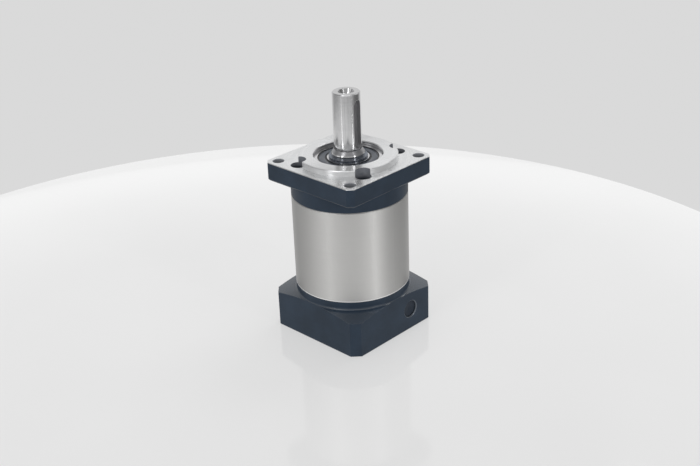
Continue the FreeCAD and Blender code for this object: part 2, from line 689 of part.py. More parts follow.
# ------------------------------------------------------------------ bearings
def bearing(name, ball_count):
    (bore_rad, outer_rad, top, width, pitch, ball, land_in, land_out,
     face_in, face_out, step, cage_half) = [getattr(dim, name + "_" + c) for c in BEARING_COLUMNS]
    low = top - width
    mid = top - width / 2
    groove = ball + dim.ball_play
    rise_in = sqrt(groove * groove - (pitch - land_in) * (pitch - land_in))
    rise_out = sqrt(groove * groove - (land_out - pitch) * (land_out - pitch))
    edge = dim.race_chamfer
    bore = bore_rad + dim.fit_gap
    rim = outer_rad - dim.fit_gap

    body = new_body(name + "_inner_race")
    revolve(body, [
        (bore, low + edge), (bore + edge, low), (face_in, low), (face_in, low + step),
        (land_in, low + step), (land_in, mid - rise_in, groove, -1),
        (land_in, mid + rise_in), (land_in, top - step),
        (face_in, top - step), (face_in, top), (bore + edge, top), (bore, top - edge)])
    finish(body)

    body = new_body(name + "_outer_race")
    revolve(body, [
        (rim, low + edge), (rim, top - edge), (rim - edge, top), (face_out, top),
        (face_out, top - step), (land_out, top - step),
        (land_out, mid + rise_out, groove, -1), (land_out, mid - rise_out),
        (land_out, low + step), (face_out, low + step),
        (face_out, low), (rim - edge, low)])
    finish(body)

    balls = []
    windows = []
    for x, y in ring_points(pitch, 0.0, ball_count):
        balls.append(prim("Sphere", (x, y, mid), Radius=ball))
        outward = Rotation(Vector(0, 0, 1), Vector(x.value, y.value, 0))
        windows.append(cylinder(groove, pitch + dim.cage_window_overrun, (0, 0, mid), outward))
    finish(fuse(name + "_balls", balls))
    hoop = tube(mid - cage_half, cage_half * 2, land_in + dim.cage_gap, land_out - dim.cage_gap)
    finish(subtract(name + "_cage", hoop, fuse(name + "_windows", windows)))

    lip = face_in + dim.seal_lip_gap
    hold = face_out - dim.fit_gap
    upper = tube(top - dim.seal_recess - dim.seal_thick, dim.seal_thick, lip, hold)
    lower = tube(low + dim.seal_recess, dim.seal_thick, lip, hold)
    finish(fuse(name + "_seals", [upper, lower]))


# ------------------------------------------------------------------ carriers
INTER_PLATE_LOW = dim.inter_top_z - dim.inter_plate_thick
OUTPUT_ANGLE = dim.carrier_angle.value
INTER_ANGLE = dim.inter_carrier_angle.value


def carrier_cage(body, gap_top, gap, rear_thick, pin_top):
    """Webs midway between the planets, rear plate and pin holes behind a front plate."""
    rear_top = gap_top - gap
    rear_low = rear_top - rear_thick
    corners = [(dim.web_inner_x, -dim.web_inner_half), (dim.web_outer_x, -dim.web_outer_half),
               (dim.web_outer_x, dim.web_outer_half), (dim.web_inner_x, dim.web_inner_half)]
    sketch = new_sketch(body, "XY_Plane", rear_top)
    for k in range(PLANETS):
        angle = dim.web_angle + 360.0 / PLANETS * k
        cosine, sine = cosd(angle), sind(angle)
        outline(sketch, [(x * cosine - y * sine, x * sine + y * cosine) for x, y in corners])
    pad(body, sketch, gap)
    sketch = new_sketch(body, "XY_Plane", rear_low)
    circles(sketch, [(0, 0, dim.carrier_rad), (0, 0, dim.carrier_bore_rad)])
    pad(body, sketch, rear_thick)
    holes = [(x, y, dim.pin_rad + dim.fit_gap)
             for x, y in ring_points(dim.centre_distance, 0.0, PLANETS)]
    drill(body, holes, rear_low, pin_top - rear_low, reverse=True)


def output_shaft():
    body = new_body("output_shaft")
    end_z = dim.shaft_end_z
    revolve(body, [
        (0, end_z),
        (0, dim.bush_seat_z),
        (dim.bush_seat_rad, dim.bush_seat_z),
        (dim.bush_seat_rad, dim.front_plate_low_z),
        (dim.carrier_rad, dim.front_plate_low_z),
        (dim.carrier_rad, dim.front_plate_top_z - dim.carrier_chamfer),
        (dim.carrier_rad - dim.carrier_chamfer, dim.front_plate_top_z),
        (dim.hub_shoulder_rad, dim.front_plate_top_z),
        (dim.hub_shoulder_rad, dim.hub_face_z),
        (dim.seat_rad, dim.hub_face_z),
        (dim.seat_rad, dim.shaft_clip_low_z),
        (dim.clip_land_rad, dim.shaft_clip_low_z),
        (dim.clip_land_rad, dim.shaft_clip_top_z),
        (dim.seat_rad, dim.shaft_clip_top_z),
        (dim.seat_rad, dim.collar_low_z),
        (dim.collar_mid_rad, dim.collar_mid_z),
        (dim.shaft_rad, dim.collar_top_z),
        (dim.shaft_rad, end_z - dim.shaft_chamfer),
        (dim.shaft_rad - dim.shaft_chamfer, end_z)])
    carrier_cage(body, dim.front_plate_low_z, dim.carrier_gap, dim.rear_plate_thick,
                 dim.output_pin_top_z)
    # keyway: round-ended slot on the +X side
    half = dim.key_width / 2
    key_low = dim.key_low_z + half
    key_top = dim.key_low_z + dim.key_length - half
    mill(body, [(half, key_low), (half, key_top, half, 1),
                (-half, key_top), (-half, key_low, half, 1)],
         dim.key_floor, dim.key_cut, reverse=True, role="YZ_Plane")
    # tapped centre hole: cone at the mouth, clearance recess, then the thread
    revolve(body, [
        (0, end_z + OVERCUT),
        (0, end_z - dim.centre_hole_depth - dim.centre_drill_tip),
        (dim.centre_hole_rad, end_z - dim.centre_hole_depth),
        (dim.centre_hole_rad, end_z - dim.centre_thread_depth),
        (dim.centre_recess_rad, end_z - dim.centre_recess_depth),
        (dim.centre_recess_rad, end_z - dim.centre_cone_depth),
        (dim.centre_cone_rad, end_z),
        (dim.centre_cone_rad, end_z + OVERCUT)], cut=True)
    finish(body, turn=dim.carrier_angle)


def interstage_carrier():
    body = new_body("interstage_blank")
    neck_top = dim.sun_two_low_z + dim.sun_two_overlap
    revolve(body, [
        (0, dim.spigot_pin_top_z),
        (0, INTER_PLATE_LOW),
        (dim.carrier_rad, INTER_PLATE_LOW),
        (dim.carrier_rad, dim.inter_top_z - dim.carrier_chamfer),
        (dim.carrier_rad - dim.carrier_chamfer, dim.inter_top_z),
        (dim.sun_neck_rad, dim.inter_top_z),
        (dim.sun_neck_rad, neck_top),
        (dim.spigot_pin_rad, neck_top),
        (dim.spigot_pin_rad, dim.spigot_pin_top_z - dim.spigot_pin_chamfer),
        (dim.spigot_pin_rad - dim.spigot_pin_chamfer, dim.spigot_pin_top_z)])
    carrier_cage(body, INTER_PLATE_LOW, dim.inter_gap, dim.inter_rear_thick, dim.inter_pin_top_z)
    # the whole piece is turned at the end, so the sun's phase is taken back by that angle
    teeth = prism("sun_two_teeth", external(SUN_TEETH, sun_phase(OUTPUT_ANGLE) - INTER_ANGLE),
                  dim.sun_two_low_z, dim.sun_two_top_z)
    finish(fuse("interstage_carrier", [body, teeth]), turn=dim.inter_carrier_angle)


def stage(name, angle, gap_top, gap, pin_top, pin_length):
    """Pins, thrust washers, planets and bushes of one stage."""
    centres = ring_points(dim.centre_distance, angle, PLANETS)
    gap_low = gap_top - gap
    pins = [cylinder(dim.pin_rad, pin_length, (x, y, pin_top - pin_length)) for x, y in centres]
    finish(fuse(name + "_planet_pins", pins))
    washers = []
    for x, y in centres:
        for z in (gap_top - dim.washer_thick, gap_low):
            washers.append(tube(z, dim.washer_thick, dim.washer_inner_rad,
                                dim.washer_outer_rad, x, y))
    finish(fuse(name + "_thrust_washers", washers))
    z_low = gap_low + dim.washer_thick + dim.end_float
    z_top = gap_top - dim.washer_thick - dim.end_float
    for k, (x, y) in enumerate(centres):
        letter = "abc"[k]
        teeth = external(PLANET_TEETH, planet_phase(angle.value + 360.0 / PLANETS * k))
        finish(prism("%s_planet_%s" % (name, letter), teeth, z_low, z_top, x, y,
                     dim.planet_bore_rad))
        bush = tube(z_low, z_top - z_low, dim.bush_inner_rad,
                    dim.planet_bore_rad - dim.fit_gap, x, y)
        finish(bush, "%s_planet_bush_%s" % (name, letter))


# ---------------------------------------------------------------- input side
def input_hub():
    body = new_body("input_blank")
    neck_top = dim.sun_one_low_z + dim.sun_one_overlap
    end_z = dim.clamp_sleeve_end_z
    revolve(body, [
        (0, neck_top),
        (0, dim.motor_bore_end_z),
        (dim.motor_bore_rad, dim.motor_bore_end_z),
        (dim.motor_bore_rad, end_z + dim.motor_bore_chamfer),
        (dim.motor_bore_rad + dim.motor_bore_chamfer, end_z),
        (dim.clamp_sleeve_rad - dim.sleeve_end_edge, end_z),
        (dim.clamp_sleeve_rad, end_z + dim.sleeve_end_edge),
        (dim.clamp_sleeve_rad, dim.input_collar_z - dim.input_collar_taper),
        (dim.input_seat_rad, dim.input_collar_z),
        (dim.input_seat_rad, dim.input_clip_low_z),
        (dim.input_clip_rad, dim.input_clip_low_z),
        (dim.input_clip_rad, dim.input_seat_low_z),
        (dim.input_seat_rad, dim.input_seat_low_z),
        (dim.input_seat_rad, dim.input_seat_top_z),
        (dim.input_flange_rad, dim.input_seat_top_z),
        (dim.input_flange_rad, dim.input_flange_top_z - dim.input_flange_chamfer),
        (dim.input_flange_rad - dim.input_flange_chamfer, dim.input_flange_top_z),
        (dim.sun_neck_rad, dim.input_flange_top_z),
        (dim.sun_neck_rad, neck_top)])
    # crossed slots through both walls of the sleeve, along X and then along Y
    half = dim.sleeve_slot / 2
    slot = [(-half, end_z - OVERCUT), (half, end_z - OVERCUT),
            (half, dim.sleeve_slot_z), (-half, dim.sleeve_slot_z)]
    for role in ("YZ_Plane", "XZ_Plane"):
        mill(body, slot, -dim.sleeve_slot_reach, dim.sleeve_slot_reach * 2,
             reverse=True, role=role)
    teeth = prism("sun_one_teeth", external(SUN_TEETH, sun_phase(INTER_ANGLE)),
                  dim.sun_one_low_z, dim.sun_one_top_z)
    finish(fuse("input_hub", [body, teeth]))


def clamp_collar():
    body = new_body("clamp_collar")
    low = dim.access_z - dim.clamp_height / 2
    top = low + dim.clamp_height
    edge = dim.clamp_chamfer
    inner = dim.clamp_sleeve_rad + dim.fit_gap * 2
    outer = dim.clamp_outer_rad
    revolve(body, [
        (inner, low), (outer - edge, low), (outer, low + edge),
        (outer, top - edge), (outer - edge, top), (inner, top)])
    # slot through the +Y wall
    half = dim.clamp_slot / 2
    mill(body, [(-half, dim.clamp_slot_low_y), (half, dim.clamp_slot_low_y),
                (half, dim.clamp_slot_top_y), (-half, dim.clamp_slot_top_y)],
         low, dim.clamp_height, reverse=True)
    # screw hole along X: clear on the +X side, tapped on the -X side, room for the head
    for radius, start_x, reach, reverse in (
            (dim.screw_clear_rad, 0, dim.clamp_hole_reach, True),
            (dim.tapped_rad, 0, dim.clamp_hole_reach, False),
            (dim.clamp_head_room, dim.clamp_screw_seat_x, dim.clamp_head_reach, True)):
        drill(body, [(dim.access_y, dim.access_z, radius)], start_x, reach, reverse, "YZ_Plane")
    finish(body)


# -------------------------------------------------------------------- screws
def cap_screw(length):
    """M4 socket head cap screw along +Z: seat face at 0, head above, tip below."""
    rim_z = dim.head_height - dim.head_chamfer
    head = cylinder(dim.head_rad, rim_z)
    rim = prim("Cone", (0, 0, rim_z), Radius1=dim.head_rad,
               Radius2=dim.head_rad - dim.head_chamfer, Height=dim.head_chamfer)
    shank = cylinder(dim.screw_rad, length - dim.screw_tip, (0, 0, dim.screw_tip - length))
    tip = prim("Cone", (0, 0, -length), Radius1=dim.screw_rad - dim.screw_tip,
               Radius2=dim.screw_rad, Height=dim.screw_tip)
    blank = fuse(numbered("screw_blank", 0), [head, rim, shank, tip])
    socket = prim("Prism", (0, 0, dim.head_height - dim.socket_depth),
                  Circumradius=dim.socket_rad, Height=dim.socket_depth + OVERCUT)
    socket.Polygon = 6
    return subtract(numbered("screw", 0), blank, socket)


def screw_set(label, seat_z, length, rotation=None):
    screws = [place(cap_screw(length), (x, y, seat_z), rotation) for x, y in SCREW_XY]
    finish(fuse(label, screws))


def clamp_screw():
    screw = place(cap_screw(dim.clamp_screw_length),
                  (dim.clamp_screw_seat_x, dim.access_y, dim.access_z),
                  Rotation(Vector(0, 1, 0), 90))
    finish(screw, "clamp_screw")


# ----------------------------------------------------------- rings and clips
def o_ring(label, groove_top, groove_low):
    ring = prim("Torus", (0, 0, (groove_top + groove_low) / 2),
                Radius1=dim.o_ring_major, Radius2=dim.o_ring_minor)
    finish(ring, label)


def plain_rings():
    finish(tube(dim.rear_seat_z, dim.front_seat_z - dim.rear_seat_z,
                dim.seat_rad + dim.fit_gap, dim.spacer_outer_rad), "bearing_spacer")
    finish(tube(dim.front_plate_low_z,
                dim.bush_seat_z - dim.front_plate_low_z - dim.support_bush_end_gap,
                dim.spigot_pin_rad + dim.support_bush_play,
                dim.bush_seat_rad - dim.fit_gap), "support_bush")
    finish(tube(dim.inter_top_z, dim.thrust_top_z - dim.inter_top_z,
                dim.thrust_inner_rad, dim.thrust_outer_rad), "interstage_thrust_ring")


def circlip(label, inner, outer, z_low, thick, gap, lug_x, angle):
    """Open retaining ring with a pierced lug on each side of its gap."""
    solids = [tube(z_low, thick, inner, outer)]
    holes = []
    for side in (-1, 1):
        lug_y = (gap / 2 + dim.clip_lug_rad + dim.clip_lug_offset) * side
        solids.append(cylinder(dim.clip_lug_rad, thick, (lug_x, lug_y, z_low)))
        holes.append(cylinder(dim.clip_lug_hole, thick, (lug_x, lug_y, z_low)))
    whole = fuse(label + "_hoop", solids)
    slot = prim("Box", (inner / 2, gap / -2, z_low),
                Length=outer + dim.clip_slot_overrun - inner / 2, Width=gap, Height=thick)
    cuts = fuse(label + "_cuts", [slot] + holes)
    finish(subtract(label, whole, cuts), turn=angle)


def circlips():
    circlip("shaft_circlip", dim.clip_land_rad + dim.fit_gap, dim.shaft_clip_outer_rad,
            dim.front_bearing_top_z + dim.shaft_clip_play, dim.shaft_clip_thick,
            dim.shaft_clip_gap, dim.shaft_clip_outer_rad, dim.shaft_clip_angle)
    circlip("hub_circlip", dim.input_clip_rad + dim.fit_gap, dim.hub_clip_outer_rad,
            dim.input_seat_low_z - dim.hub_clip_play - dim.hub_clip_thick, dim.hub_clip_thick,
            dim.hub_clip_gap, dim.hub_clip_outer_rad + dim.hub_clip_lug_out, dim.hub_clip_angle)
    circlip("bore_circlip", dim.bore_clip_inner_rad, dim.bore_clip_outer_rad,
            dim.clip_groove_low_z + dim.bore_clip_play, dim.bore_clip_thick,
            dim.bore_clip_gap, dim.bore_clip_inner_rad, dim.bore_clip_angle)


# --------------------------------------------------------------------- build
output_flange()
ring_gear()
motor_adapter()
access_plug()
bearing("front_bearing", ball_count=10)
bearing("rear_bearing", ball_count=12)
bearing("input_bearing", ball_count=11)
output_shaft()
interstage_carrier()
stage("output", dim.carrier_angle, dim.front_plate_low_z, dim.carrier_gap,
      dim.output_pin_top_z, dim.output_pin_length)
stage("input", dim.inter_carrier_angle, INTER_PLATE_LOW, dim.inter_gap,
      dim.inter_pin_top_z, dim.inter_pin_length)
input_hub()
clamp_collar()
screw_set("flange_screws", dim.flange_screw_seat_z, dim.flange_screw_length)
screw_set("adapter_screws", dim.adapter_screw_seat_z, dim.adapter_screw_length,
          Rotation(Vector(1, 0, 0), 180))
clamp_screw()
o_ring("front_o_ring", dim.o_groove_top_z, dim.o_groove_low_z)
o_ring("rear_o_ring", dim.rear_o_groove_top_z, dim.rear_o_groove_low_z)
plain_rings()
circlips()

# --------------------------------------------------------------- check, write
doc.recompute()
for obj in doc.Objects:
    if "Invalid" in obj.State or "Error" in obj.State:
        raise RuntimeError("failed object: %s %s" % (obj.Label, obj.State))
os.makedirs("parts", exist_ok=True)
written = set()
for part in PARTS:
    shape = part.Shape
    if shape.isNull() or not shape.isValid() or not shape.Solids:
        raise RuntimeError("bad shape: " + part.Label)
    if part.Label in written:
        raise RuntimeError("name used twice: " + part.Label)
    written.add(part.Label)
    shape.exportStep("parts/%s.step" % part.Label)
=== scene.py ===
"""A gearbox standing upright on a round table, its axis on Z.

The output flange's mounting face lies at z = 0 with the output shaft pointing up (+Z);
the motor adapter is at the bottom, down to about z = -92 mm. Sizes are in millimetres
unless a comment says metres.
"""
import bpy
import bmesh
import math
from fnmatch import fnmatchcase
from functools import cached_property, reduce
from operator import or_
from mathutils import Vector, Matrix


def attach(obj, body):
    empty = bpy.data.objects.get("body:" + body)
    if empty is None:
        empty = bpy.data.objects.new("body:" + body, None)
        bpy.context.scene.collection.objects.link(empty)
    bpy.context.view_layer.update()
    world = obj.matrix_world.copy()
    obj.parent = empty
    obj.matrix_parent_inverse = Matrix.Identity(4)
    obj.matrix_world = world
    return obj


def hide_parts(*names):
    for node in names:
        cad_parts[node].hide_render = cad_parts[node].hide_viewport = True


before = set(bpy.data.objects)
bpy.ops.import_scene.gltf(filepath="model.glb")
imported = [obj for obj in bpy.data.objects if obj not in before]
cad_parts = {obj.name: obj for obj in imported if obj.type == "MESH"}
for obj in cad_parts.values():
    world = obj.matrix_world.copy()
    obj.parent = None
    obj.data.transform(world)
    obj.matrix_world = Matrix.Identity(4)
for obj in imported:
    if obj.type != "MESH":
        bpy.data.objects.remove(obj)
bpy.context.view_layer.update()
scene = bpy.context.scene

MM = 0.001  # metres in a millimetre

# places shared by materials and pieces
SCREW_CIRCLE_R = 25.7
SCREW_ANGLES = [math.radians(60 + 90 * k) for k in range(4)]
SCREW_AXES = [(SCREW_CIRCLE_R * math.cos(a), SCREW_CIRCLE_R * math.sin(a)) for a in SCREW_ANGLES]
MOUNT_OFFSET = 24.75
MOUNT_AXES = [(sx * MOUNT_OFFSET, sy * MOUNT_OFFSET) for sx in (-1, 1) for sy in (-1, 1)]
CLAMP_Y, CLAMP_Z = 11.4, -80.3  # axis of the clamp screw and the plug's seat, along X
CAMERA_AZIMUTH = math.radians(44.556)


# =====================================================================
# node graphs
# =====================================================================
def maths(operation, swapped=False):
    """A method that adds a Math node; swapped puts the other operand first."""
    def build(value, *others):
        operands = (*others, value) if swapped else (value, *others)
        inputs = dict(enumerate(operands))
        return value.graph.value("ShaderNodeMath", inputs, operation=operation)
    return build


class Value:
    """A node's output. Sums and comparisons with it add Math nodes; | takes the larger."""
    __add__ = maths("ADD")
    __sub__ = maths("SUBTRACT")
    __rsub__ = maths("SUBTRACT", swapped=True)
    __mul__ = maths("MULTIPLY")
    __gt__ = maths("GREATER_THAN")
    __lt__ = maths("LESS_THAN")
    __or__ = maths("MAXIMUM")
    __abs__ = maths("ABSOLUTE")
    sqrt = maths("SQRT")
    sin = maths("SINE")
    cos = maths("COSINE")
    arctan2 = maths("ARCTAN2")

    def __init__(self, graph, socket):
        self.graph = graph
        self.socket = socket

    def ramp(self, over, to=(0.0, 1.0), interpolation="LINEAR"):
        """Map the range `over` to the range `to`, clamped."""
        inputs = {"Value": self, "From Min": over[0], "From Max": over[1],
                  "To Min": to[0], "To Max": to[1]}
        return self.graph.value("ShaderNodeMapRange", inputs, interpolation_type=interpolation)

    def mix(self, off, on):
        """Colour `off` where this is 0, `on` where it is 1."""
        return self.graph.value("ShaderNodeMix", {0: self, 6: off, 7: on}, 2, data_type="RGBA")

    def mix_value(self, off, on):
        """Number `off` where this is 0, `on` where it is 1."""
        return self.graph.value("ShaderNodeMix", {0: self, 2: off, 3: on}, data_type="FLOAT")


def length(across, along):
    return (across * across + along * along).sqrt()


class Graph:
    """Builds the node tree of a material or world."""

    def __init__(self, owner, output_kind):
        owner.use_nodes = True
        self.owner = owner
        self.tree = owner.node_tree
        self.tree.nodes.clear()
        self.output = self.node(output_kind)

    def put(self, socket, value):
        if isinstance(value, Value):
            self.tree.links.new(value.socket, socket)
        elif isinstance(value, tuple):
            socket.default_value = (*value, 1.0)
        else:
            socket.default_value = value

    def node(self, kind, inputs=None, **settings):
        node = self.tree.nodes.new(kind)
        for name, setting in settings.items():
            setattr(node, name, setting)
        for key, value in (inputs or {}).items():
            self.put(node.inputs[key], value)
        return node

    def value(self, kind, inputs=None, output=0, **settings):
        return Value(self, self.node(kind, inputs, **settings).outputs[output])

    def split(self, vector):
        node = self.node("ShaderNodeSeparateXYZ", {0: vector})
        return [Value(self, socket) for socket in node.outputs]

    def finish(self, surface):
        self.put(self.output.inputs[0], surface)
        return self.owner


class Shader(Graph):
    """A material's graph, with coordinates and lengths in millimetres."""

    def __init__(self, name):
        super().__init__(bpy.data.materials.new(name), "ShaderNodeOutputMaterial")

    @cached_property
    def position(self):
        metres = self.value("ShaderNodeTexCoord", output="Object")
        return self.value("ShaderNodeVectorMath", {0: metres, "Scale": 1000.0}, operation="SCALE")

    @cached_property
    def xyz(self):
        return self.split(self.position)

    @cached_property
    def radius(self):
        x, y, _ = self.xyz
        return length(x, y)

    @cached_property
    def angle(self):
        x, y, _ = self.xyz
        return y.arctan2(x)

    def distance(self, centre_x, centre_y):
        """Distance from an axis parallel to Z."""
        x, y, _ = self.xyz
        return length(x - centre_x, y - centre_y)

    def combine(self, x, y, z):
        return self.value("ShaderNodeCombineXYZ", {0: x, 1: y, 2: z})

    def noise(self, scale, detail=2.0, rough=0.5, at=None):
        inputs = {"Vector": at or self.position, "Scale": scale,
                  "Detail": detail, "Roughness": rough}
        return self.value("ShaderNodeTexNoise", inputs, noise_dimensions="3D")

    def line_noise(self, along, detail=2.0, rough=0.5):
        """Noise that varies with one value only."""
        inputs = {"W": along, "Scale": 1.0, "Detail": detail, "Roughness": rough}
        return self.value("ShaderNodeTexNoise", inputs, noise_dimensions="1D")

    def ring_noise(self, width, along):
        """Ring lines round the axis that drift a little with the angle."""
        at = self.combine(self.angle.cos() * width, self.angle.sin() * width, along)
        return self.noise(scale=1.0, detail=3.0, rough=0.7, at=at)

    def bevel(self, radius, samples):
        return self.value("ShaderNodeBevel", {"Radius": radius * MM}, samples=samples)

    def bump(self, height, strength, depth, rounding):
        """Bumps over normals that are rounded at the edges."""
        inputs = {"Strength": strength, "Distance": depth * MM, "Height": height,
                  "Normal": self.bevel(rounding, samples=4)}
        return self.value("ShaderNodeBump", inputs)

    def normal(self):
        return self.value("ShaderNodeNewGeometry", output="Normal")

    def normal_z(self):
        local = self.value("ShaderNodeVectorTransform", {0: self.normal()},
                           vector_type="NORMAL", convert_from="WORLD", convert_to="OBJECT")
        return self.split(local)[2]

    def edge(self, radius, samples=4):
        """0 on flat surfaces, rising to 1 on edges."""
        inputs = {0: self.bevel(radius, samples), 1: self.normal()}
        facing = self.value("ShaderNodeVectorMath", inputs, "Value", operation="DOT_PRODUCT")
        return facing.ramp(over=(0.995, 0.86))

    def principled(self, colour, metallic, rough, normal=None, specular=None, aniso=None,
                   glow=None):
        inputs = {"Base Color": colour, "Metallic": metallic, "Roughness": rough}
        if normal is not None:
            inputs["Normal"] = normal
        if specular is not None:
            inputs["Specular IOR Level"] = specular
        if aniso is not None:
            inputs["Anisotropic"] = aniso
            inputs["Anisotropic Rotation"] = 0.25
            inputs["Tangent"] = self.value("ShaderNodeTangent", direction_type="RADIAL", axis="Z")
        if glow is not None:
            inputs["Emission Color"] = (1.0, 1.0, 1.0)
            inputs["Emission Strength"] = glow
        return self.value("ShaderNodeBsdfPrincipled", inputs)

    def surface(self, *args, **named):
        return self.finish(self.principled(*args, **named))


def scaled(colour, factor):
    return tuple(channel * factor for channel in colour)


# =====================================================================
# materials
# =====================================================================
ANODISED_TINT = (0.0225, 0.038, 0.061)


def anodised(shader):
    """Colour (with painted highlights on the edges), roughness, specular level and grain of black
    anodised, fine-milled aluminium.
    """
    cloud = shader.noise(scale=0.09, detail=3.0, rough=0.55)
    grain = shader.noise(scale=5.5, rough=0.6)
    pits = shader.noise(scale=1.4, detail=4.0, rough=0.65)
    colour = cloud.ramp(over=(0.3, 0.7)).mix(scaled(ANODISED_TINT, 0.86),
                                             scaled(ANODISED_TINT, 1.16))
    pitted = pits.ramp(over=(0.60, 0.74), to=(0.0, 0.35))
    colour = pitted.mix(colour, scaled(ANODISED_TINT, 1.8))
    # lighter edges: partly wear, partly a painted highlight
    edge = shader.edge(radius=0.30, samples=6)
    colour = (edge * 0.35).mix(colour, (0.13, 0.14, 0.16))
    # painted highlight: 45 degree broken edges are coloured paler, as if catching more light
    normal_z = shader.normal_z()
    slant_highlight = abs(abs(normal_z) - 0.707).ramp(over=(0.02, 0.10), to=(1.0, 0.0))
    colour = (slant_highlight * 0.75).mix(colour, (0.070, 0.082, 0.098))
    # upward faces are smoother and glossier
    up = normal_z.ramp(over=(0.2, 0.9))
    grain = grain * up.mix_value(off=1.0, on=0.25)
    rough = grain.ramp(over=(0.2, 0.7), to=(0.46, 0.58)) - up * 0.24
    gloss = up.mix_value(off=0.26, on=0.85)
    return colour, rough, gloss, grain


def flange_material():
    screw_hole_r, mount_hole_r = 3.99, 3.3  # walls of the drilled holes lie inside these
    outer_r = 30.5  # the mount holes lie beyond this radius, the screw holes mostly inside it
    shader = Shader("black_anodised_faced_flange")
    x, y, z = shader.xyz
    radius = shader.radius
    black, black_rough, gloss, grain = anodised(shader)

    # bare faced metal: mounting face, pilot and bearing bore, without the drilled holes' walls
    face = z > -0.02
    up = shader.normal_z() > 0.5
    rim = (z > -0.31) * (radius > 29.75) * up
    bore = radius < 17.96
    faced = face | rim | bore
    for centre in SCREW_AXES:
        faced = faced * ((shader.distance(*centre) > 3.985) | up)
        faced = faced * (shader.distance(*centre) > 3.9)
    level = shader.normal_z() > 0.95
    for centre in MOUNT_AXES:
        faced = faced * ((shader.distance(*centre) > mount_hole_r) | level)

    # face-turned rings along the radius, and rings along Z on the walls
    face_lines = shader.line_noise(radius * 7.0, detail=3.0, rough=0.7)
    bands = shader.line_noise(radius * 0.55)
    wall_lines = shader.line_noise(z * 9.0, detail=3.0, rough=0.7)
    smear = shader.noise(scale=0.12, detail=3.0)
    normal_z = shader.normal_z()
    lines = (normal_z > 0.6).mix_value(wall_lines, face_lines)
    metal = lines.ramp(over=(0.25, 0.75)).mix((0.74, 0.745, 0.75), (0.86, 0.865, 0.87))
    metal = bands.ramp(over=(0.35, 0.65), to=(0.0, 0.35)).mix(metal, (0.68, 0.69, 0.70))
    metal = smear.ramp(over=(0.55, 0.75), to=(0.0, 0.25)).mix(metal, (0.60, 0.61, 0.62))
    metal_rough = (lines.ramp(over=(0.2, 0.8), to=(0.22, 0.30))
                   + smear.ramp(over=(0.4, 0.7), to=(0.0, 0.06)))

    # the bore wall is bored, not faced: coarser rings and a duller metal
    rings = shader.line_noise(z * 2.6, rough=0.6)
    bored = rings.ramp(over=(0.35, 0.65)).mix((0.40, 0.40, 0.41), (0.64, 0.64, 0.65))
    metal = (bore * (abs(normal_z) < 0.5)).mix(metal, bored)

    # walls of the drilled holes: bare and dull, with painted shade darkening them towards the
    # bottom
    holes = [shader.distance(*centre) < screw_hole_r for centre in SCREW_AXES]
    holes += [shader.distance(*centre) < mount_hole_r for centre in MOUNT_AXES]
    hole = reduce(or_, holes) * (1.0 - faced) * (z > -9.65)
    stretched = shader.combine(x * 0.4, y * 0.4, z * 5.0)
    drilled = shader.noise(scale=1.0, detail=3.0, rough=0.6, at=stretched)
    wall = drilled.ramp(over=(0.3, 0.7)).mix((0.18, 0.19, 0.215), (0.28, 0.29, 0.315))
    wall = z.ramp(over=(-2.8, -1.2)).mix((0.02, 0.027, 0.040), wall)
    # painted shade part way down the mount holes' walls
    hole_shade = z.ramp(over=(-2.6, -0.8), to=(0.25, 0.0))
    wall = (hole_shade * (radius > outer_r)).mix(wall, (0.12, 0.12, 0.125))
    wall = ((radius > outer_r) * 0.40).mix(wall, (0.36, 0.37, 0.39))

    colour = faced.mix(hole.mix(black, wall), metal)
    rough = faced.mix_value(hole.mix_value(black_rough, on=0.5), metal_rough)
    height = faced.mix_value(grain * 0.5, lines)
    normal = shader.bump(height, strength=0.22, depth=0.012, rounding=0.12)

    # the pilot's side wall is scuffed by fitting: paler and less like a mirror
    side = (radius > 24.9) * (z > 0.02) * (abs(normal_z) < 0.5) * faced
    colour = (side * 0.7).mix(colour, (0.80, 0.805, 0.81))
    rough = side.mix_value(rough, on=0.36)
    return shader.surface(colour, faced - side * 0.55, rough, normal,
                          specular=gloss, aniso=faced * 0.80)


def adapter_material():
    shader = Shader("black_anodised_adapter")
    x, y, z = shader.xyz
    colour, rough, gloss, grain = anodised(shader)
    # turned neck, cone and inner bores carry fine lines; the milled sides stay even
    turned = shader.radius < 29.9
    lines = shader.line_noise(z * 6.0 + shader.radius * 6.0)
    height = turned.mix_value(grain * 0.5, lines)
    # the plug's seat is drilled through the finish: bare metal on its wall and chamfer
    bare = (length(y - CLAMP_Y, z - CLAMP_Z) < 4.93) * (x > 25.0)
    colour = bare.mix(colour, (0.17, 0.19, 0.22))
    normal = shader.bump(height, strength=0.18, depth=0.012, rounding=0.15)
    return shader.surface(colour, bare * 0.7, rough, normal, specular=gloss)


